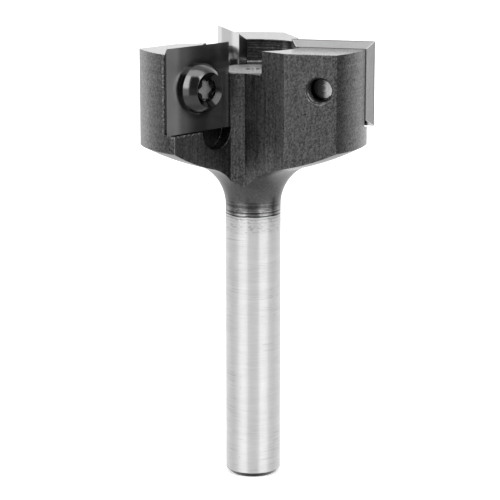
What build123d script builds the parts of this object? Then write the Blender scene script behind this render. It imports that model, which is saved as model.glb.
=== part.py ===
"""Surfacing router bit with three screwed-on square carbide inserts.

Millimetres. The origin is the centre of the shank's end face and +Z runs up the shank to the head, so the
bit stands on its shank with the cutting end up. Each wing has a frame of its own: "reach" is the distance
outward from the axis, "offset" the distance the way that the wing cuts, and "height" the distance up.
"""

from build123d import *
from math import atan2, cos, degrees, hypot, radians, sin, sqrt, tan
import os

os.makedirs("parts", exist_ok=True)

# Shank and neck
shank_diameter = 8.0
shank_end_chamfer = 0.7
shank_length = 40.3
neck_fillet_radius = 6.45

# Square insert, with all four flanks ground back from its cutting face
insert_side = 12.0
insert_thickness = 1.5
insert_flank_angle = 35.0
cutting_diameter = 35.0
cutting_face_offset = 0.57

# Head blank, as turned
body_setback = 1.05
underside_angle = 15.0
underside_rise = 3.07
recess_diameter = 14.4
recess_depth = 3.4
recess_corner_radius = 0.45
centre_drill_diameter = 2.1
centre_drill_angle = 60.0

# Wings and the gullets between them
wing_count = 3
first_wing_azimuth = 225.75
wing_front_offset = 0.9
wing_back_offset = 8.75
hub_flat_distance = 4.3
hub_corner_width = 1.6
hub_back_reach = 6.6

# Pocket that the insert sits in
ledge_rise = 2.545
ledge_clearance = 0.15
insert_top_overhang = 1.0
pocket_side_clearance = 0.06
pocket_relief_diameter = 5.6
seat_edge_chamfer = 0.15

# Clamping screw, with its thread drawn at the mean diameter
thread_diameter = 3.6
thread_clearance = 0.03
thread_length = 4.5
tapped_hole_chamfer = 0.1
tapped_hole_chamfer_angle = 90.0
screw_neck_diameter = 3.9
screw_neck_clearance = 0.15
screw_end_chamfer = 0.4
head_diameter = 7.2
head_rim_height = 0.63
head_height = 2.28
socket_mouth_diameter = 4.9
socket_mouth_depth = 0.5
socket_floor_height = 0.9
socket_point_diameter = 3.4
socket_lobe_depth = 0.48
socket_point_radius = 0.28

# How far a cutting tool runs on past the metal
overrun = 2.5

shank_radius = shank_diameter / 2
body_radius = cutting_diameter / 2 - body_setback
gullet_reach = body_radius + overrun
recess_radius = recess_diameter / 2
centre_drill_depth = centre_drill_diameter / 2 / tan(radians(centre_drill_angle / 2))
insert_inset = insert_thickness * tan(radians(insert_flank_angle))
insert_outer_reach = sqrt((cutting_diameter / 2) ** 2 - cutting_face_offset**2)
insert_inner_reach = insert_outer_reach - insert_side
insert_centre_reach = insert_outer_reach - insert_side / 2
seat_offset = cutting_face_offset - insert_thickness
seat_outer_reach = sqrt(body_radius**2 - seat_offset**2)
pocket_wall_reach = insert_inner_reach - pocket_side_clearance
pocket_relief_radius = pocket_relief_diameter / 2
neck_radius = screw_neck_diameter / 2
thread_radius = thread_diameter / 2
tapped_hole_radius = thread_radius + thread_clearance
wing_pitch = 360 / wing_count
wing_azimuths = [first_wing_azimuth + wing_pitch * step for step in range(wing_count)]


def polar(radius, angle):
    """Point in a sketch at a radius and an angle in degrees."""
    return Vector(radius * cos(radians(angle)), radius * sin(radians(angle)))


# Neck: an arc tangent to the shank, which runs over into the slightly rounded underside of the head
fillet_turn = 90 - underside_angle
fillet_centre = Vector(shank_radius + neck_fillet_radius, shank_length)
fillet_start = fillet_centre + polar(neck_fillet_radius, 180)
fillet_middle = fillet_centre + polar(neck_fillet_radius, 180 - fillet_turn / 2)
fillet_end = fillet_centre + polar(neck_fillet_radius, 180 - fillet_turn)
rim_height = fillet_end.Y + underside_rise
underside_run = body_radius - fillet_end.X
underside_chord = hypot(underside_run, underside_rise)
underside_turn = degrees(atan2(underside_rise, underside_run)) - underside_angle
underside_middle = fillet_end + polar(
    underside_chord / 2 / cos(radians(underside_turn / 2)), underside_angle + underside_turn / 2
)

# Heights, from the rim of the underside up
ledge_height = rim_height + ledge_rise
insert_bottom_height = ledge_height + ledge_clearance
insert_centre_height = insert_bottom_height + insert_side / 2
wing_top_height = insert_bottom_height + insert_side - insert_top_overhang
recess_floor_height = wing_top_height - recess_depth


def outward(azimuth):
    """Unit vector along a wing."""
    return polar(1, azimuth)


def forward(azimuth):
    """Unit vector the way that a wing cuts."""
    return polar(1, azimuth + 90)


def plan(azimuth, height):
    """Plane seen from above: x is reach, y is offset."""
    return Plane(origin=(0, 0, height), x_dir=outward(azimuth), z_dir=(0, 0, 1))


def elevation(azimuth, offset):
    """Plane seen from in front of a wing, about the insert's centre: x is reach, y is downward."""
    centre = outward(azimuth) * insert_centre_reach + forward(azimuth) * offset
    centre += Vector(0, 0, insert_centre_height)
    return Plane(origin=centre, x_dir=outward(azimuth), z_dir=forward(azimuth))


def in_elevation(reach, height):
    """A reach and a height as a point on an elevation plane."""
    return (reach - insert_centre_reach, insert_centre_height - height)


def section(azimuth, reach):
    """Upright plane across a wing: x is offset, y is height."""
    return Plane(origin=outward(azimuth) * reach, x_dir=forward(azimuth), z_dir=outward(azimuth))


# Gullet in plan, in the frame of the wing whose front faces it. Its far side is the back of the next wing.
hub_front_corner = Vector(pocket_wall_reach, wing_front_offset)
hub_flat_start = Vector(hub_flat_distance, wing_front_offset + hub_corner_width)
hub_flat_end = outward(wing_pitch) * hub_back_reach - forward(wing_pitch) * wing_back_offset
gullet_outline = [
    hub_front_corner,
    hub_flat_start,
    hub_flat_end,
    hub_flat_end + polar(gullet_reach, wing_pitch),
    polar(2 * gullet_reach, wing_pitch / 2),
    Vector(gullet_reach, wing_front_offset),
]

recess_corner_centre = Vector(
    recess_radius - recess_corner_radius,
    recess_floor_height + recess_corner_radius,
)

# Cutter body: shank, neck, hub and wings, turned and milled from one bar of steel
with BuildPart() as cutter_body:
    with BuildSketch(Plane.XZ):
        with BuildLine():
            Polyline(
                (0, 0),
                (shank_radius - shank_end_chamfer, 0),
                (shank_radius, shank_end_chamfer),
                fillet_start,
            )
            ThreePointArc(fillet_start, fillet_middle, fillet_end)
            ThreePointArc(fillet_end, underside_middle, (body_radius, rim_height))
            Polyline(
                (body_radius, rim_height),
                (body_radius, wing_top_height),
                (recess_radius, wing_top_height),
                recess_corner_centre + polar(recess_corner_radius, 0),
            )
            ThreePointArc(
                recess_corner_centre + polar(recess_corner_radius, 0),
                recess_corner_centre + polar(recess_corner_radius, -45),
                recess_corner_centre + polar(recess_corner_radius, -90),
            )
            Polyline(
                recess_corner_centre + polar(recess_corner_radius, -90),
                (centre_drill_diameter / 2, recess_floor_height),
                (0, recess_floor_height - centre_drill_depth),
                (0, 0),
            )
        make_face()
    revolve(axis=Axis.Z)

    for azimuth in wing_azimuths:
        # Gullet
        with BuildSketch(plan(azimuth, shank_length)):
            with BuildLine():
                Polyline(*gullet_outline, close=True)
            make_face()
        extrude(amount=wing_top_height - shank_length + overrun, mode=Mode.SUBTRACT)

    for azimuth in wing_azimuths:
        # Pocket with a flat seat, and the round relief that the milling cutter leaves in its corner
        with BuildSketch(elevation(azimuth, seat_offset)):
            with BuildLine():
                Polyline(
                    in_elevation(pocket_wall_reach, ledge_height),
                    in_elevation(gullet_reach, ledge_height),
                    in_elevation(gullet_reach, wing_top_height + overrun),
                    in_elevation(pocket_wall_reach, wing_top_height + overrun),
                    close=True,
                )
            make_face()
            with Locations(in_elevation(pocket_wall_reach + pocket_relief_radius, ledge_height)):
                Circle(pocket_relief_radius)
        extrude(amount=wing_front_offset - seat_offset + overrun, mode=Mode.SUBTRACT)

        # Chamfers on the outer and upper edges of the seat
        with BuildSketch(plan(azimuth, ledge_height)):
            with BuildLine():
                Polyline(
                    (seat_outer_reach - seat_edge_chamfer, seat_offset),
                    (seat_outer_reach + overrun, seat_offset),
                    (seat_outer_reach + overrun, seat_offset - seat_edge_chamfer - overrun),
                    close=True,
                )
            make_face()
        extrude(amount=wing_top_height - ledge_height + overrun, mode=Mode.SUBTRACT)
        with BuildSketch(section(azimuth, pocket_wall_reach)):
            with BuildLine():
                Polyline(
                    (seat_offset, wing_top_height - seat_edge_chamfer),
                    (seat_offset, wing_top_height + overrun),
                    (seat_offset - seat_edge_chamfer - overrun, wing_top_height + overrun),
                    close=True,
                )
            make_face()
        extrude(amount=gullet_reach - pocket_wall_reach, mode=Mode.SUBTRACT)

        # Tapped hole, drilled through from the back of the wing
        back = elevation(azimuth, -wing_back_offset)
        with Locations(Plane(origin=back.origin, x_dir=back.x_dir, z_dir=-back.z_dir)):
            CounterSinkHole(
                radius=tapped_hole_radius,
                counter_sink_radius=tapped_hole_radius + tapped_hole_chamfer,
                depth=wing_back_offset + wing_front_offset,
                counter_sink_angle=tapped_hole_chamfer_angle,
            )

cutter_body.part.label = "cutter_body"
export_step(cutter_body.part, "parts/cutter_body.step")

# Inserts
for number, azimuth in enumerate(wing_azimuths, start=1):
    with BuildPart() as insert:
        with BuildSketch(elevation(azimuth, cutting_face_offset)):
            Rectangle(insert_side, insert_side)
        with BuildSketch(elevation(azimuth, seat_offset)):
            Rectangle(insert_side - 2 * insert_inset, insert_side - 2 * insert_inset)
        loft()
        with Locations(elevation(azimuth, cutting_face_offset)):
            Hole(neck_radius + screw_neck_clearance, depth=insert_thickness)
    insert.part.label = f"insert_{number}"
    export_step(insert.part, f"parts/insert_{number}.step")

# Screws. The section's x is the distance from the screw's axis and its y the offset from the cutting face.
screw_end_offset = -insert_thickness - thread_length
head_radius = head_diameter / 2
mouth_radius = socket_mouth_diameter / 2
dome_centre_offset = (head_height**2 + mouth_radius**2 - head_rim_height**2 - head_radius**2) / (
    2 * (head_height - head_rim_height)
)
dome_radius = hypot(head_radius, head_rim_height - dome_centre_offset)
dome_start_angle = atan2(head_rim_height - dome_centre_offset, head_radius)
dome_end_angle = atan2(head_height - dome_centre_offset, mouth_radius)


def dome_point(angle):
    """A point of the head's dome, turned about the dome's centre on the screw's axis."""
    return (dome_radius * cos(angle), dome_centre_offset + dome_radius * sin(angle))


# Six-lobe socket: round points and round hollows, tangent to each other
lobe_count = 6
lobe_half_pitch = 180 / lobe_count
socket_depth = head_height - socket_mouth_depth - socket_floor_height
point_centre_radius = socket_point_diameter / 2 - socket_point_radius
valley_radius = socket_point_diameter / 2 - socket_lobe_depth
point_run = point_centre_radius * cos(radians(lobe_half_pitch))
hollow_radius = (
    point_centre_radius**2 + valley_radius**2 - 2 * point_run * valley_radius - socket_point_radius**2
) / (2 * (socket_point_radius - valley_radius + point_run))
hollow_centre_radius = valley_radius + hollow_radius
join_share = socket_point_radius / (socket_point_radius + hollow_radius)


def lobe_join(point_angle, hollow_angle):
    """Where the arc of a point meets the arc of a hollow."""
    point_centre = polar(point_centre_radius, point_angle)
    return point_centre + (polar(hollow_centre_radius, hollow_angle) - point_centre) * join_share


for number, azimuth in enumerate(wing_azimuths, start=1):
    bearing = elevation(azimuth, cutting_face_offset)
    half_section = Plane(origin=bearing.origin, x_dir=bearing.x_dir, z_dir=(0, 0, 1))
    with BuildPart() as insert_screw:
        with BuildSketch(half_section):
            with BuildLine():
                Polyline(
                    (0, head_height),
                    (0, screw_end_offset),
                    (thread_radius - screw_end_chamfer, screw_end_offset),
                    (thread_radius, screw_end_offset + screw_end_chamfer),
                    (thread_radius, -insert_thickness),
                    (neck_radius, -insert_thickness),
                    (neck_radius, 0),
                    (head_radius, 0),
                    (head_radius, head_rim_height),
                )
                ThreePointArc(
                    dome_point(dome_start_angle),
                    dome_point((dome_start_angle + dome_end_angle) / 2),
                    dome_point(dome_end_angle),
                )
                Line(dome_point(dome_end_angle), (0, head_height))
            make_face()
        revolve(axis=Axis(bearing.origin, bearing.z_dir))
        # Lead-in cone of the socket
        with BuildSketch(bearing.offset(head_height)):
            Circle(mouth_radius)
        with BuildSketch(bearing.offset(head_height - socket_mouth_depth)):
            Circle(socket_point_diameter / 2)
        loft(mode=Mode.SUBTRACT)
        with BuildSketch(bearing.offset(head_height - socket_mouth_depth)):
            with BuildLine():
                for step in range(lobe_count):
                    angle = 2 * lobe_half_pitch * step
                    after = lobe_join(angle, angle + lobe_half_pitch)
                    ThreePointArc(
                        lobe_join(angle, angle - lobe_half_pitch),
                        polar(socket_point_diameter / 2, angle),
                        after,
                    )
                    ThreePointArc(
                        after,
                        polar(valley_radius, angle + lobe_half_pitch),
                        lobe_join(angle + 2 * lobe_half_pitch, angle + lobe_half_pitch),
                    )
            make_face()
        extrude(amount=-socket_depth, mode=Mode.SUBTRACT)
    insert_screw.part.label = f"insert_screw_{number}"
    export_step(insert_screw.part, f"parts/insert_screw_{number}.step")
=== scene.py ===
"""Looks of the surfacing router bit: black oxide head, ground shank, carbide inserts, domed screws.

Metres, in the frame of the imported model: the shank's end face is at z = 0 and the cutting end is
up. A wing has a frame of its own, as in the part's source: reach is outward, offset is the way
that it cuts. Inside the materials, places are in millimetres. A share is 1 where something applies
and 0 where it doesn't. A tone is a factor on a colour.
"""

import math
from types import SimpleNamespace

import bmesh
import bpy
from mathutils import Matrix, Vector


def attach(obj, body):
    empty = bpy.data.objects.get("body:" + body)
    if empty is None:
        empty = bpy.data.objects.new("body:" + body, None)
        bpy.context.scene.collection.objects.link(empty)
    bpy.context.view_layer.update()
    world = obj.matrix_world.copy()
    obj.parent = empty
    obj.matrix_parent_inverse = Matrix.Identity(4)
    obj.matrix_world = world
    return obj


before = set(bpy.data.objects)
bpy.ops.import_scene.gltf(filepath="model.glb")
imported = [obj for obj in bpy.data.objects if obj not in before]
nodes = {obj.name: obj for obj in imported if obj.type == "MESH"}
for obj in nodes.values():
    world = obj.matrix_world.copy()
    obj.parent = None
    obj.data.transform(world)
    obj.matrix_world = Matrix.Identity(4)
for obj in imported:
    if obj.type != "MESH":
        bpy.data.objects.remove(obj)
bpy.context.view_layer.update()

MM = 0.001
DEGREES = 180 / math.pi

# Sizes of the part that the looks refer to, in millimetres
SHANK_RADIUS = 4.0
END_CHAMFER = 0.7
GROUND_TOP = 39.05
RIM_HEIGHT = 49.6
LEDGE_HEIGHT = 52.145
TOP_HEIGHT = 63.295
BODY_RADIUS = 16.45
FRONT_OFFSET = 0.9
BACK_OFFSET = -8.75
SEAT_OFFSET = -0.93
RAKE_OFFSET = 0.57
INSERT_REACH = 11.491
INSERT_HEIGHT = 58.295
INSERT_HALF = 6.0
HOLE_RADIUS = 1.83
HEAD_RADIUS = 3.6
SCREW_END_OFFSET = -5.43
SOCKET_FLOOR_OFFSET = 1.47
SOCKET_RADIUS = 1.86
CONE_RADIUS = 2.4
RELIEF_REACH = 8.231
RELIEF_RADIUS = 2.8
RECESS_RADIUS = 7.2
RECESS_FLOOR_BAND = (59.0, 60.3)

# The wings, in degrees: where they are, how far apart, and the way that two of their sides face
WINGS = (1, 2, 3)
WING_AZIMUTHS = (225.75, 345.75, 105.75)
WING_PITCH = 120.0
PLAIN_BACK_FACING = 32.0
FRONT_FACING = 90.0
FACING_WIDTH = 9.0

# Where the wings are cut apart to be folded onto one, in degrees behind a wing's own line
SEAT_FOLD = 16.0
BACK_FOLD = 60.0

# Colours between which each metal wanders, as shares of the light that it reflects
OXIDE_COLOURS = ((0.118, 0.118, 0.12), (0.132, 0.132, 0.132))
GROUND_COLOURS = ((0.505, 0.505, 0.51), (0.54, 0.54, 0.54))
CARBIDE_COLOURS = ((0.39, 0.39, 0.395), (0.43, 0.43, 0.43))
BARE_METAL = (0.55, 0.54, 0.53)
RECESS_FLOOR_METAL = (0.3, 0.3, 0.3)
SCREW_OXIDE = (0.1, 0.1, 0.102)
SCREW_SOCKET_FLOOR = (0.27, 0.27, 0.27)
# Painted light: the screw's end in the tapped hole is much lighter than the screw
SCREW_END_PAINTED_LIGHT = (0.85, 0.85, 0.85)
SCREW_BARE_METAL = (0.5, 0.5, 0.5)

# The studio: light by the angle in degrees from the camera's side, at the part's own height, above
# it, high up and below it, and straight below it
LIGHT_LEVEL = (
    (0, 0.2), (23, 0.2), (26, 1.15), (63, 1.25), (66, 0.95), (82, 1.0), (86.5, 0.32), (91.5, 0.1),
    (94, 0.14), (96.5, 0.6), (103, 0.58), (110, 0.76), (124, 1.1), (138, 1.4), (155, 1.35),
    (180, 1.1),
)
LIGHT_ABOVE = (
    (0, 0.12), (24, 0.12), (27, 4.4), (65, 4.4), (68, 0.55), (110, 0.5), (130, 0.9), (150, 1.4),
    (180, 1.7),
)
LIGHT_HIGH = ((0, 2.6), (75, 2.6), (100, 0.8), (180, 0.8))
LIGHT_BELOW = ((0, 0.6), (35, 0.65), (60, 0.65), (95, 0.6), (115, 0.8), (140, 1.05), (180, 1.25))
LIGHT_BOTTOM = 0.42

# The camera of the photo
CAMERA_PLACE = (-0.000457, -0.29134, 0.09878)
CAMERA_TILT = 77.361
CAMERA_LENS = 148.0
CAMERA_SENSOR = 36.0

FLOOR_RADIUS = 3.0
FLOOR_LIFT = 0.42


def wing_point(number, reach, offset, height):
    """A place in a wing's frame, in millimetres, as a point of the row frame in metres."""
    azimuth = math.radians(WING_AZIMUTHS[number - 1])
    along = Vector((math.cos(azimuth), math.sin(azimuth), 0))
    ahead = Vector((-math.sin(azimuth), math.cos(azimuth), 0))
    return (along * reach + ahead * offset + Vector((0, 0, height))) * MM


def add_object(name, mesh, material):
    """An object made from a bmesh, which is freed."""
    data = bpy.data.meshes.new(name)
    mesh.to_mesh(data)
    mesh.free()
    data.materials.append(material)
    obj = bpy.data.objects.new(name, data)
    bpy.context.scene.collection.objects.link(obj)
    return obj


# ---------------------------------------------------------------- node helpers


class Tree:
    """Adds nodes to a tree and joins them. A value is a number, a tuple or a node's output."""

    def __init__(self, tree):
        self.tree = tree
        self.tree.nodes.clear()

    def node(self, kind, inputs=None, **settings):
        made = self.tree.nodes.new(kind)
        for key, value in settings.items():
            setattr(made, key, value)
        for key, value in (inputs or {}).items():
            self.put(made.inputs[key], value)
        return made

    def put(self, socket, value):
        if isinstance(value, bpy.types.NodeSocket):
            self.tree.links.new(value, socket)
        elif value is not None:
            socket.default_value = value

    def finish(self, kind, shader):
        """Joins a shader to the tree's output."""
        self.tree.links.new(shader.outputs[0], self.node(kind).inputs["Surface"])

    def math(self, operation, *values, clamp=False):
        made = self.node("ShaderNodeMath", operation=operation, use_clamp=clamp)
        for socket, value in zip(made.inputs, values):
            self.put(socket, value)
        return made.outputs[0]

    def add(self, a, b):
        return self.math("ADD", a, b)

    def minus(self, a, b):
        return self.math("SUBTRACT", a, b)

    def times(self, *values):
        result = values[0]
        for value in values[1:]:
            result = self.math("MULTIPLY", result, value)
        return result

    def most(self, a, b, clamp=False):
        return self.math("MAXIMUM", a, b, clamp=clamp)

    def size(self, value):
        return self.math("ABSOLUTE", value)

    def length(self, a, b):
        """Length of the vector (a, b)."""
        return self.math("SQRT", self.add(self.times(a, a), self.times(b, b)))

    def rest(self, share):
        """The share of everything else."""
        return self.minus(1.0, share)

    def raised(self, tone, *factors):
        """The tone times 1 plus the product of the factors."""
        return self.times(tone, self.add(1.0, self.times(*factors)))

    def dimmed(self, tone, *factors):
        """The tone times 1 minus the product of the factors."""
        return self.times(tone, self.rest(self.times(*factors)))

    def step(self, value, low, high, start=0.0, end=1.0):
        """Smooth change from start to end as value goes from low to high."""
        made = self.node(
            "ShaderNodeMapRange",
            {"Value": value, "From Min": low, "From Max": high, "To Min": start, "To Max": end},
            interpolation_type="SMOOTHSTEP",
        )
        return made.outputs["Result"]

    def fall(self, value, low, high):
        """1 up to low, and smoothly down to 0 at high."""
        return self.step(value, low, high, 1.0, 0.0)

    def inside(self, value, low, high, soft):
        """1 where value lies between low and high, with soft edges."""
        return self.times(
            self.step(value, low - soft, low + soft), self.fall(value, high - soft, high + soft)
        )

    def near(self, value, target, width):
        """1 where value is at target, down to 0 at width away."""
        return self.fall(self.size(self.minus(value, target)), 0, width)

    def scaled(self, vector, factors):
        made = self.node("ShaderNodeVectorMath", operation="MULTIPLY")
        self.put(made.inputs[0], vector)
        self.put(made.inputs[1], factors)
        return made.outputs[0]

    def split(self, vector):
        return self.node("ShaderNodeSeparateXYZ", {0: vector}).outputs

    def join(self, x, y, z):
        return self.node("ShaderNodeCombineXYZ", {0: x, 1: y, 2: z}).outputs[0]

    def noise(self, vector, scale=1.0, detail=4.0, roughness=0.55, distortion=0.0):
        made = self.node(
            "ShaderNodeTexNoise",
            {
                "Vector": vector,
                "Scale": scale,
                "Detail": detail,
                "Roughness": roughness,
                "Distortion": distortion,
            },
        )
        return made.outputs["Fac"]

    def cells(self, vector, scale):
        made = self.node("ShaderNodeTexVoronoi", {"Vector": vector, "Scale": scale})
        return made.outputs["Distance"], made.outputs["Color"]

    def mix(self, share, a, b):
        made = self.node("ShaderNodeMix", data_type="FLOAT")
        self.put(made.inputs[0], share)
        self.put(made.inputs[2], a)
        self.put(made.inputs[3], b)
        return made.outputs[0]

    def mix_colour(self, share, a, b):
        made = self.node("ShaderNodeMix", data_type="RGBA")
        self.put(made.inputs[0], share)
        for socket, value in ((made.inputs[6], a), (made.inputs[7], b)):
            self.put(socket, value if isinstance(value, bpy.types.NodeSocket) else (*value, 1.0))
        return made.outputs[2]

    def shade(self, colour, factor):
        """A colour made lighter or darker by a factor."""
        made = self.node("ShaderNodeVectorMath", operation="SCALE")
        self.put(made.inputs[0], colour)
        self.put(made.inputs["Scale"], factor)
        return made.outputs[0]

    def bump(self, height, distance, normal=None):
        """height is 0 to 1, and distance is what 1 stands for, in metres."""
        made = self.node(
            "ShaderNodeBump", {"Height": height, "Strength": 1.0, "Distance": distance}
        )
        self.put(made.inputs["Normal"], normal)
        return made.outputs[0]


def new_material(name):
    material = bpy.data.materials.new(name)
    material.use_nodes = True
    return material, Tree(material.node_tree)


def finish_metal(t, inputs):
    """A metal: all of its colour is in what it reflects, unless the inputs say less."""
    constants = {"Metallic": 1.0, "Specular IOR Level": 0.0}
    surface = t.node("ShaderNodeBsdfPrincipled", {**constants, **inputs})
    t.finish("ShaderNodeOutputMaterial", surface)


def place(t):
    """The place on the surface in the row frame, in millimetres."""
    return t.scaled(t.node("ShaderNodeTexCoord").outputs["Object"], (1 / MM, 1 / MM, 1 / MM))


def surface_normal(t):
    return t.node("ShaderNodeNewGeometry").outputs["Normal"]


def wing_frame(t, vector, azimuth):
    """Vector in one wing's frame: reach, offset, height."""
    made = t.node(
        "ShaderNodeVectorRotate",
        {"Vector": vector, "Angle": -math.radians(azimuth)},
        rotation_type="Z_AXIS",
    )
    return made.outputs[0]


def folded(t, p, fold_degrees):
    """Every wing folded onto one: reach, offset and radius.

    What lies further behind a wing's own line than the fold counts with the wing behind it.
    """
    fold = math.radians(fold_degrees)
    x, y, _ = t.split(p)
    radius = t.length(x, y)
    turn = t.minus(t.math("ARCTAN2", y, x), math.radians(WING_AZIMUTHS[0]) - fold)
    turn = t.minus(t.math("WRAP", turn, math.radians(WING_PITCH), 0.0), fold)
    return t.times(radius, t.math("COSINE", turn)), t.times(radius, t.math("SINE", turn)), radius


def around_screw(t, p):
    """Place from the axis of a wing's screw: how far outward, the offset, and the distance."""
    reach, offset, _ = folded(t, p, BACK_FOLD)
    outward = t.minus(reach, INSERT_REACH)
    rise = t.minus(t.split(p)[2], INSERT_HEIGHT)
    return outward, offset, t.length(outward, rise)


def edge_share(t, normal, radius, low, high):
    """The rounded normal near edges, and 1 on an edge down to 0 off it."""
    rounded = t.node("ShaderNodeBevel", {"Radius": radius}, samples=4).outputs[0]
    dot = t.node("ShaderNodeVectorMath", operation="DOT_PRODUCT")
    t.put(dot.inputs[0], rounded)
    t.put(dot.inputs[1], normal)
    return rounded, t.fall(dot.outputs["Value"], low, high)


# ---------------------------------------------------------------- the steel body


def body_surfaces(t):
    """Where a point of the body is, and the share of each kind of surface."""
    s = SimpleNamespace()
    s.p = place(t)
    s.z = t.split(s.p)[2]
    s.reach, s.offset, s.radius = folded(t, s.p, SEAT_FOLD)
    s.normal = surface_normal(t)
    nx, ny, nz = t.split(s.normal)
    facing = t.minus(t.math("ARCTAN2", ny, nx), math.radians(WING_AZIMUTHS[0]))
    facing = t.times(t.math("WRAP", facing, math.radians(WING_PITCH), 0.0), DEGREES)
    upward = t.size(nz)

    s.level = t.step(upward, 0.9, 0.97)
    s.upright = t.fall(upward, 0.2, 0.3)
    s.turned = t.step(s.radius, BODY_RADIUS - 0.06, BODY_RADIUS - 0.03)
    s.plain_back = t.times(t.near(facing, PLAIN_BACK_FACING, FACING_WIDTH), s.upright)
    s.front = t.times(t.near(facing, FRONT_FACING, FACING_WIDTH), s.upright)

    # The turned neck and underside, without the wings' planar sides
    slanted = t.most(t.step(upward, 0.01, 0.04), t.fall(s.radius, 4.6, 5.0))
    s.below_head = t.times(t.fall(s.z, RIM_HEIGHT - 0.05, RIM_HEIGHT + 0.02), slanted)

    low, high = RECESS_FLOOR_BAND
    s.recess_wall = t.times(
        s.upright,
        t.inside(s.radius, RECESS_RADIUS - 0.06, RECESS_RADIUS + 0.03, 0.02),
        t.step(s.z, low, low + 0.5),
    )
    s.recess_floor = t.times(
        s.level,
        t.step(s.radius, RECESS_RADIUS + 0.02, RECESS_RADIUS - 0.02),
        t.inside(s.z, low, high, 0.1),
    )
    s.milled = t.times(s.upright, t.rest(s.turned), t.rest(s.below_head), t.rest(s.recess_wall))

    # The grinding of the shank stops a little unevenly, and turned rings follow it. The chamfer at
    # the shank's lower end has oxide too, but no rings.
    wander = t.noise(t.scaled(s.p, (0.4, 0.4, 0.1)), detail=3)
    s.from_edge = t.minus(s.z, t.add(GROUND_TOP - 0.15, t.times(wander, 0.3)))
    s.ground = t.times(
        t.fall(s.from_edge, -0.03, 0.03),
        t.step(s.z, END_CHAMFER - 0.02, END_CHAMFER + 0.04),
        t.step(s.radius, SHANK_RADIUS - 0.05, SHANK_RADIUS - 0.02),
    )
    s.oxide = t.rest(s.ground)
    s.rings = t.times(t.fall(s.from_edge, 1.9, 2.3), s.oxide, t.step(s.z, 30, 31))

    # The round relief that the milling cutter leaves in the pocket's corner
    inward = t.minus(s.reach, RELIEF_REACH)
    lower = t.minus(s.z, LEDGE_HEIGHT)
    s.from_relief = t.length(inward, lower)
    return s


def body_marks(t, s):
    """Marks of the tools: upright streaks from milling, fine turned lines, and a grainy skin."""
    p, z, radius = s.p, s.z, s.radius
    k = SimpleNamespace()
    k.streak = t.noise(t.scaled(p, (3.4, 3.4, 0.09)), detail=3, roughness=0.7)
    k.broad_streak = t.noise(t.scaled(p, (1.1, 1.1, 0.04)), detail=2)
    k.grain = t.noise(p, scale=3.3, detail=2, roughness=0.7)
    pebble = t.noise(p, scale=3.1, detail=1, roughness=0.6, distortion=1.0)
    k.skin = t.step(t.add(t.times(k.grain, 0.5), t.times(pebble, 0.5)), 0.38, 0.62)
    k.blotch = t.noise(p, scale=0.7, detail=4, roughness=0.65)
    lathe_place = t.join(t.times(radius, 0.4), 0.0, t.times(z, 4.5))
    k.lathe = t.noise(lathe_place, detail=3, roughness=0.7)
    face_place = t.join(t.times(radius, 3.5), 0.0, t.times(z, 0.4))
    k.face_lathe = t.noise(face_place, detail=3, roughness=0.7)

    ring_wave = t.noise(t.scaled(p, (0.5, 0.5, 0.4)), detail=2)
    ring_height = t.add(z, t.times(ring_wave, 0.25))
    ring_place = t.join(0.0, t.times(radius, 0.1), t.times(ring_height, 3.6))
    k.ring_lines = t.step(t.noise(ring_place, detail=3, roughness=0.75), 0.4, 0.66)
    k.ring_patch = t.noise(t.scaled(p, (0.35, 0.35, 1.6)), detail=4, roughness=0.7)
    second_line = t.times(t.near(s.from_edge, 0.62, 0.1), t.step(k.ring_patch, 0.4, 0.5))
    k.cut_line = t.most(t.near(s.from_edge, 0.06, 0.13), second_line)

    k.grind = t.noise(t.scaled(p, (0.3, 0.3, 7.0)), detail=5, roughness=0.75)
    k.grind_broad = t.noise(t.scaled(p, (0.15, 0.15, 1.1)), detail=3)
    scratch = t.noise(t.scaled(p, (0.22, 0.22, 9.0)), detail=1)
    patch = t.noise(t.scaled(p, (0.5, 0.5, 0.25)), detail=2)
    k.scratches = t.times(t.step(scratch, 0.60, 0.66), t.step(patch, 0.45, 0.6))

    pit_distance, pit_colour = t.cells(p, 0.55)
    rare = t.math("GREATER_THAN", t.split(pit_colour)[0], 0.9)
    k.pit = t.times(t.fall(pit_distance, 0.06, 0.11), rare)
    return k


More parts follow.
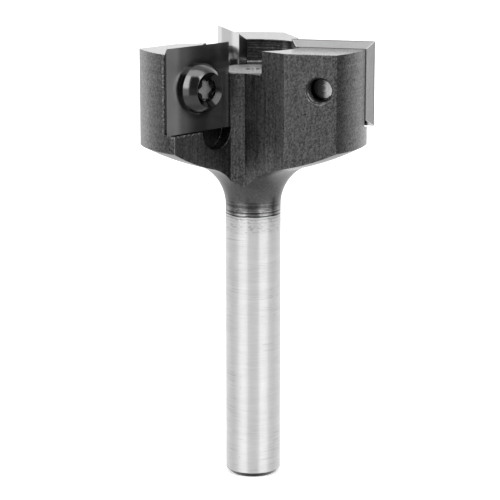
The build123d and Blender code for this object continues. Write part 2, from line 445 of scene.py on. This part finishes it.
def body_bare_share(t, s, on_edge):
    """Bare metal where the oxide is worn along the edges, and burrs round the insert's corner."""
    from_hole = around_screw(t, s.p)[2]
    relief_rim = t.times(
        t.near(s.from_relief, RELIEF_RADIUS, 0.3), t.near(s.offset, FRONT_OFFSET, 0.25)
    )
    wear_noise = t.noise(s.p, scale=1.9, detail=4, roughness=0.75)
    worn = t.times(
        on_edge,
        t.step(wear_noise, 0.45, 0.6),
        t.step(from_hole, 2.3, 2.5),
        t.step(s.z, 1.0, 1.2),
        t.rest(relief_rim),
    )
    corner_line = t.times(
        t.near(s.offset, FRONT_OFFSET, 0.12),
        t.step(s.radius, BODY_RADIUS - 0.12, BODY_RADIUS - 0.02),
        t.inside(s.z, RIM_HEIGHT - 0.1, LEDGE_HEIGHT, 0.1),
    )
    worn = t.most(worn, t.times(corner_line, 0.8))

    near_ledge = t.times(
        t.near(s.z, LEDGE_HEIGHT, 0.4),
        t.near(s.offset, FRONT_OFFSET, 0.35),
        t.step(s.reach, 7.6, 8.6),
    )
    near_corner = t.times(
        t.near(s.z, LEDGE_HEIGHT - 0.1, 0.9),
        t.near(s.offset, FRONT_OFFSET - 0.5, 1.6),
        s.turned,
    )
    near_seat = t.times(
        t.near(s.offset, SEAT_OFFSET - 0.45, 0.35),
        t.step(s.radius, BODY_RADIUS - 0.3, BODY_RADIUS - 0.05),
        t.step(s.z, LEDGE_HEIGHT - 0.4, LEDGE_HEIGHT + 0.2),
    )
    burr_place = t.most(near_ledge, t.most(near_corner, near_seat))
    burr_noise = t.noise(s.p, scale=3.4, detail=2, roughness=0.8)
    burrs = t.times(t.step(burr_noise, 0.53, 0.62), t.step(burr_place, 0.2, 0.6))
    return t.most(t.times(worn, 0.45), t.times(burrs, 0.8), clamp=True)


def oxide_tone(t, s, k):
    """The oxide reflects as a dark metal, so that its marks show in what it reflects."""
    skin_depth = t.mix(s.below_head, 0.75, 0.25)
    tone = t.add(1.0, t.times(t.minus(k.skin, 0.5), s.oxide, skin_depth))
    streaks = t.minus(t.add(t.times(k.streak, 2.4), t.times(k.broad_streak, 0.6)), 1.5)
    streaked = t.times(s.milled, t.mix(s.plain_back, 1.0, 0.25))
    tone = t.raised(tone, streaked, streaks, 0.85)
    tone = t.times(tone, t.add(0.87, t.times(k.blotch, 0.26)))
    tone = t.raised(tone, s.turned, t.minus(k.lathe, 0.5), 1.2)
    tone = t.raised(tone, s.recess_wall, t.minus(k.lathe, 0.55), 6.0)
    tone = t.raised(tone, s.level, t.minus(k.face_lathe, 0.5), 0.9)
    tone = t.dimmed(tone, k.pit, s.milled, 0.75)

    # The rings above the ground shank, with thin oxide low down
    thin = t.times(s.rings, t.step(s.from_edge, 2.0, 1.0), t.step(k.ring_patch, 0.34, 0.6))
    tone = t.times(tone, t.mix(s.rings, 1.0, t.add(0.55, t.times(k.ring_lines, 0.8))))
    tone = t.raised(tone, thin, t.add(0.4, k.ring_lines), 1.6)
    tone = t.dimmed(tone, k.cut_line, 0.85)

    # Painted shade on the wings' fronts and plain backs, which are darker; the turned underside is
    # lighter
    tone = t.times(
        tone,
        t.mix(s.below_head, 1.0, 1.15),
        t.mix(s.front, 1.0, 0.6),
        t.mix(s.plain_back, 1.0, 0.77),
    )

    # Painted shade in the seam between the insert's back and its seat, and in the pocket's round
    # relief
    seam_painted_shade = t.times(
        t.inside(s.offset, SEAT_OFFSET - 0.24, SEAT_OFFSET + 0.3, 0.05),
        t.step(s.radius, BODY_RADIUS - 0.4, BODY_RADIUS - 0.3),
        t.inside(s.z, LEDGE_HEIGHT, TOP_HEIGHT - 0.1, 0.05),
    )
    tone = t.dimmed(tone, seam_painted_shade, 0.88)
    relief_painted_shade = t.times(
        t.fall(s.from_relief, RELIEF_RADIUS - 0.03, RELIEF_RADIUS + 0.03),
        t.inside(s.offset, SEAT_OFFSET - 0.1, FRONT_OFFSET - 0.06, 0.03),
        t.fall(s.z, LEDGE_HEIGHT - 0.05, LEDGE_HEIGHT + 0.05),
    )
    tone = t.dimmed(tone, relief_painted_shade, 0.65)
    # Painted shade on the chamfer at the shank's lower end, next to the floor
    tone = t.times(tone, t.step(s.z, END_CHAMFER - 0.05, END_CHAMFER + 0.02, 0.14, 1.0))
    return t.most(tone, 0.1)


def ground_tone(t, s, k):
    """The ground shank: scratched, and stained and scored just under the edge of the oxide."""
    tone = t.add(0.8, t.times(k.grind, 0.4))
    tone = t.times(tone, t.add(0.93, t.times(k.grind_broad, 0.14)))
    tone = t.dimmed(tone, k.scratches, 0.2)
    second_score = t.times(t.near(s.from_edge, -0.75, 0.09), 0.5)
    scores = t.most(t.near(s.from_edge, -0.3, 0.09), second_score)
    stain_noise = t.noise(t.scaled(s.p, (1.3, 1.3, 2.6)), detail=3, roughness=0.7)
    stain_and_painted_shade = t.times(t.step(stain_noise, 0.52, 0.62), t.inside(s.from_edge, -2.4, -0.1, 0.4))
    tone = t.dimmed(tone, scores, 0.45)
    tone = t.dimmed(tone, stain_and_painted_shade, 0.3)
    return t.dimmed(tone, k.pit, 0.12)


def recess_floor_tone(t, s, k):
    """The floor of the recess, in shade towards its wall."""
    marks = t.add(t.times(k.face_lathe, 0.6), t.times(k.grain, 0.4))
    tone = t.add(0.35, t.step(marks, 0.36, 0.64))
    return t.times(tone, t.step(s.radius, 4.4, 5.2, 1.15, 0.22))


def body_roughness(t, s, k):
    rough = t.add(0.34, t.times(t.minus(k.grain, 0.5), 0.2))
    rough = t.add(rough, t.times(s.milled, t.minus(k.streak, 0.5), 0.2))
    for share, smoother in (
        (s.level, 0.12), (s.turned, 0.06), (s.plain_back, 0.07), (s.recess_wall, 0.12),
    ):
        rough = t.minus(rough, t.times(share, smoother))
    rough = t.add(rough, t.times(s.recess_floor, 0.32))
    return t.mix(s.ground, rough, t.add(0.38, t.times(k.grind, 0.08)))


def body_relief(t, s, k):
    """Height of the marks, 0 to 1."""
    streaks = t.times(k.streak, t.mix(s.plain_back, 1.3, 0.4))
    grains = t.times(k.skin, t.mix(s.plain_back, 0.8, 1.2))
    below = t.add(t.times(k.lathe, 0.15), t.times(s.rings, k.ring_lines, 0.6))
    height = t.times(s.milled, t.add(streaks, grains))
    height = t.add(height, t.times(s.turned, t.add(t.times(k.skin, 0.8), t.times(k.lathe, 0.4))))
    height = t.add(height, t.times(s.recess_wall, k.lathe, 1.5))
    height = t.add(height, t.times(s.oxide, s.below_head, below))
    faced = t.add(t.times(k.face_lathe, 0.35), t.times(k.grain, 0.25))
    height = t.add(height, t.times(s.level, faced))
    height = t.add(height, t.times(s.ground, k.grind, 0.5))
    return t.minus(height, t.times(k.pit, s.oxide, 2.0))


def steel_body():
    """Black oxide on the head and neck, and the shank ground bright after blackening."""
    material, t = new_material("blackened_and_ground_steel")
    s = body_surfaces(t)
    k = body_marks(t, s)
    rounded, on_edge = edge_share(t, s.normal, 0.13 * MM, 0.9, 0.985)

    oxide = t.shade(t.mix_colour(k.blotch, *OXIDE_COLOURS), oxide_tone(t, s, k))
    recess_floor = t.shade(RECESS_FLOOR_METAL, recess_floor_tone(t, s, k))
    oxide = t.mix_colour(s.recess_floor, oxide, recess_floor)
    ground = t.shade(t.mix_colour(k.grind_broad, *GROUND_COLOURS), ground_tone(t, s, k))
    colour = t.mix_colour(body_bare_share(t, s, on_edge), oxide, BARE_METAL)
    colour = t.mix_colour(s.ground, colour, ground)

    brushed = t.most(t.times(s.turned, 0.4), t.times(s.level, 0.35))
    brushed = t.most(brushed, t.times(s.rings, 0.9))
    tangent = t.node("ShaderNodeTangent", direction_type="RADIAL", axis="Z").outputs[0]
    finish_metal(t, {
        "Base Color": colour,
        "Roughness": body_roughness(t, s, k),
        "Normal": t.bump(body_relief(t, s, k), 0.012 * MM, rounded),
        "Metallic": t.mix(s.ground, 1.0, 0.45),
        "Anisotropic": t.mix(s.ground, brushed, 1.0),
        "Anisotropic Rotation": 0.25,
        "Tangent": tangent,
    })
    return material


# ---------------------------------------------------------------- carbide and screws


def carbide(number):
    """Ground and polished carbide. The flanks have a narrow honed land, with painted highlights
    along the mitres.
    """
    material, t = new_material(f"carbide_{number}")
    azimuth = WING_AZIMUTHS[number - 1]
    p = place(t)
    w = wing_frame(t, p, azimuth)
    reach, offset, height = t.split(w)
    across = t.size(t.minus(reach, INSERT_REACH))
    up = t.size(t.minus(height, INSERT_HEIGHT))
    facing = t.split(wing_frame(t, surface_normal(t), azimuth))[1]
    rake = t.step(facing, 0.8, 0.95)
    flank = t.fall(t.size(facing), 0.85, 0.97)
    mitre_painted_highlight = t.times(flank, t.fall(t.size(t.minus(across, up)), 0.05, 0.16))
    land = t.times(flank, t.step(offset, RAKE_OFFSET - 0.2, RAKE_OFFSET - 0.16))
    lines = t.noise(t.scaled(w, (9.0, 0.6, 0.5)), detail=4, roughness=0.65)
    cross_lines = t.noise(t.scaled(w, (0.5, 9.0, 0.5)), detail=4, roughness=0.65)
    cloud = t.noise(p, scale=0.35, detail=5, roughness=0.6)
    speck = t.fall(t.cells(p, 1.3)[0], 0.04, 0.07)

    tone = t.add(0.93, t.times(cloud, 0.1))
    tone = t.times(tone, t.add(0.97, t.times(cross_lines, flank, 0.07)), t.mix(flank, 1.0, 1.42))
    tone = t.dimmed(tone, land, 0.3)
    # Painted highlight along the mitres
    tone = t.raised(tone, mitre_painted_highlight, 0.55)
    tone = t.dimmed(tone, speck, rake, 0.3)
    # Painted shade on the flanks next to the seat
    seat_painted_shade = t.times(flank, t.fall(offset, SEAT_OFFSET + 0.1, SEAT_OFFSET + 0.18))
    tone = t.dimmed(tone, seat_painted_shade, 0.8)

    # Painted reflection and shade on the rake face: dark round the screw's head and lightest along
    # its outer edge
    head_painted_shade = t.step(t.length(across, up), HEAD_RADIUS, HEAD_RADIUS + 1.1, 0.45, 1.0)
    outer_strip = t.step(reach, INSERT_REACH + 3.0, INSERT_REACH + 4.4)
    inner_painted_reflection = t.step(reach, INSERT_REACH - 1.0, INSERT_REACH - 3.5, 0.58, 1.1)
    rake_painted_reflection = t.mix(outer_strip, inner_painted_reflection, 1.12)
    tone = t.times(tone, t.mix(rake, 1.0, t.times(rake_painted_reflection, head_painted_shade)))

    metallic = 1.0
    if number == 1:
        # Painted shade in the groove between this insert's outer flank and the body, where the
        # metal's reflection is taken away too
        outer = INSERT_REACH + INSERT_HALF
        stain_and_painted_shade = t.times(flank, t.step(reach, outer - 1.2, outer - 1.1))
        stain_and_painted_shade = t.times(stain_and_painted_shade, t.fall(offset, RAKE_OFFSET - 0.16, RAKE_OFFSET - 0.06))
        tone = t.dimmed(tone, stain_and_painted_shade, 0.95)
        metallic = t.rest(stain_and_painted_shade)
    if number == 3:
        # Painted shade: this insert's flanks are darker
        tone = t.dimmed(tone, flank, 0.4)
    marks = t.add(t.times(rake, lines, 0.25), t.times(flank, cross_lines, 0.6))
    finish_metal(t, {
        "Base Color": t.shade(t.mix_colour(cloud, *CARBIDE_COLOURS), tone),
        "Roughness": t.add(0.15, t.times(cloud, 0.06)),
        "Normal": t.bump(marks, 0.004 * MM),
        "Metallic": metallic,
    })
    return material


def screw_steel():
    """Black oxide with a film of oil, and a lighter punched floor in the socket."""
    material, t = new_material("black_oxide_screw")
    p = place(t)
    outward, offset, from_axis = around_screw(t, p)
    cloud = t.noise(p, scale=0.8, detail=5, roughness=0.65)
    grain = t.noise(p, scale=4.5, detail=3, roughness=0.6)
    rounded, on_edge = edge_share(t, surface_normal(t), 0.08 * MM, 0.88, 0.98)
    worn = t.times(on_edge, t.step(cloud, 0.42, 0.62))

    # Painted shade inside the socket, less of it in the cone at its mouth
    in_head = t.step(offset, 0.5, 0.7)
    socket = t.times(t.fall(from_axis, SOCKET_RADIUS, SOCKET_RADIUS + 0.1), in_head)
    cone = t.times(t.fall(from_axis, CONE_RADIUS, CONE_RADIUS + 0.06), in_head)
    floor = t.times(t.near(offset, SOCKET_FLOOR_OFFSET, 0.09), t.fall(from_axis, 1.8, 1.85))
    tone = t.add(0.65, t.times(t.add(cloud, grain), 0.35))
    tone = t.times(tone, t.mix(socket, t.mix(cone, 1.0, 0.35), 0.28))

    # Painted light and shade on the screw's end that shows in the tapped hole: dark on its inner
    # side and lit on its outer side, with swirls
    end = t.step(offset, SCREW_END_OFFSET + 0.5, SCREW_END_OFFSET + 0.3)
    swirl_place = t.join(t.times(from_axis, 2.2), t.times(outward, 0.5), 0.0)
    swirl = t.noise(swirl_place, scale=1.6, detail=3, roughness=0.7)
    end_painted_light = t.times(
        t.step(t.add(outward, t.times(swirl, 0.9)), 0.25, 0.95, 0.12, 1.0),
        t.add(0.4, t.times(swirl, 1.2)),
    )

    colour = t.shade(SCREW_OXIDE, tone)
    floor_colour = t.shade(SCREW_SOCKET_FLOOR, t.add(0.6, t.times(cloud, 0.8)))
    colour = t.mix_colour(floor, colour, floor_colour)
    colour = t.mix_colour(end, colour, t.shade(SCREW_END_PAINTED_LIGHT, end_painted_light))
    rough = t.add(0.08, t.times(cloud, 0.08))
    marks = t.add(t.times(grain, 0.4), t.times(cloud, 1.2))
    finish_metal(t, {
        "Base Color": t.mix_colour(t.times(worn, 0.35), colour, SCREW_BARE_METAL),
        "Roughness": t.mix(t.most(floor, end), rough, 0.55),
        "Normal": t.bump(marks, 0.008 * MM, rounded),
    })
    return material


# ---------------------------------------------------------------- pieces


def dress(name, material):
    """Gives a carried-over CAD node its material."""
    for slot in nodes[name].material_slots:
        slot.material = material


def thread_ridge(number, material):
    """The crests of the tapped thread, from the screw's end to the back of the wing."""
    pitch = 0.7
    half_base = 0.29
    half_crest = 0.05
    depth = 0.2
    sunk = -0.05
    steps = 72
    fade_steps = 16
    start = BACK_OFFSET + 0.12 + half_base
    turns = (SCREW_END_OFFSET - 0.05 - half_base - start) / pitch
    last = int(steps * turns)
    profile = ((-half_base, sunk), (-half_crest, 1.0), (half_crest, 1.0), (half_base, sunk))
    mesh = bmesh.new()
    rows = []
    for step in range(last + 1):
        angle = 2 * math.pi * step / steps
        along = start + pitch * step / steps
        fade = min(1.0, 0.1 + step / fade_steps, 0.1 + (last - step) / fade_steps)
        ring = []
        for shift, rise in profile:
            r = HOLE_RADIUS - depth * (rise * fade if rise > 0 else rise)
            across = INSERT_REACH + r * math.cos(angle)
            up = INSERT_HEIGHT + r * math.sin(angle)
            ring.append(mesh.verts.new(wing_point(number, across, along + shift, up)))
        rows.append(ring)
    for before, after in zip(rows, rows[1:]):
        for k in range(len(profile)):
            n = (k + 1) % len(profile)
            mesh.faces.new((before[k], before[n], after[n], after[k]))
    mesh.faces.new(rows[0])
    mesh.faces.new(list(reversed(rows[-1])))
    bmesh.ops.recalc_face_normals(mesh, faces=mesh.faces)
    obj = add_object(f"hole_thread_{number}", mesh, material)
    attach(obj, "root")


body_material = steel_body()
screw_material = screw_steel()
dress("cutter_body", body_material)
for number in WINGS:
    dress(f"insert_{number}", carbide(number))
    dress(f"insert_screw_{number}", screw_material)
for number in WINGS:
    thread_ridge(number, body_material)

# ---------------------------------------------------------------- floor, light and camera


def make_floor():
    """A pale table. It gives the camera some light of its own, and isn't seen in reflections."""
    material, t = new_material("pale_floor")
    to_camera = t.node("ShaderNodeLightPath").outputs["Is Camera Ray"]
    diffuse = t.node("ShaderNodeBsdfDiffuse", {"Color": (0.8, 0.8, 0.8, 1)})
    strength = t.times(to_camera, FLOOR_LIFT)
    lift = t.node("ShaderNodeEmission", {"Color": (1, 1, 1, 1), "Strength": strength})
    both = t.node("ShaderNodeAddShader", {0: diffuse.outputs[0], 1: lift.outputs[0]})
    t.finish("ShaderNodeOutputMaterial", both)
    mesh = bmesh.new()
    bmesh.ops.create_circle(mesh, cap_ends=True, radius=FLOOR_RADIUS, segments=64)
    obj = add_object("floor", mesh, material)
    obj.visible_glossy = False


def make_world():
    """A white room for the camera. What lights the part is the studio round it.

    It is white behind and dark in front, where the camera stands. There is a pale table below, a
    tall soft box on each side of the camera and one overhead.
    """
    world = bpy.data.worlds.new("studio")
    bpy.context.scene.world = world
    world.use_nodes = True
    t = Tree(world.node_tree)
    x, y, z = t.split(t.node("ShaderNodeTexCoord").outputs["Generated"])
    azimuth = t.size(t.math("ARCTAN2", x, t.times(y, -1.0)))
    turn = t.math("DIVIDE", azimuth, math.pi)
    elevation = t.times(t.math("ARCSINE", z), DEGREES)

    def around(levels):
        """Light by the angle from the camera's side, in degrees, as a ramp."""
        brightest = max(value for _, value in levels)
        ramp = t.node("ShaderNodeValToRGB", {"Fac": turn})
        points = ramp.color_ramp.elements
        while len(points) < len(levels):
            points.new(0.5)
        for point, (angle, value) in zip(points, levels):
            point.position = angle / 180
            point.color = (value / brightest,) * 3 + (1,)
        return t.times(ramp.outputs["Color"], brightest)

    glow = t.mix(t.step(elevation, 0, 12), around(LIGHT_LEVEL), around(LIGHT_ABOVE))
    glow = t.mix(t.step(elevation, 52, 62), glow, around(LIGHT_HIGH))
    glow = t.mix(t.fall(elevation, -28, -17), glow, around(LIGHT_BELOW))
    glow = t.mix(t.fall(elevation, -75, -50), glow, LIGHT_BOTTOM)
    strength = t.mix(t.node("ShaderNodeLightPath").outputs["Is Camera Ray"], glow, 1.0)
    background = t.node("ShaderNodeBackground", {"Color": (1, 1, 1, 1), "Strength": strength})
    t.finish("ShaderNodeOutputWorld", background)


def make_camera():
    data = bpy.data.cameras.new("camera")
    data.sensor_width = CAMERA_SENSOR
    data.lens = CAMERA_LENS
    camera = bpy.data.objects.new("camera", data)
    camera.location = CAMERA_PLACE
    camera.rotation_euler = (math.radians(CAMERA_TILT), 0, 0)
    bpy.context.scene.collection.objects.link(camera)
    bpy.context.scene.camera = camera


make_floor()
make_world()
make_camera()

bpy.context.scene.view_settings.view_transform = "Standard"
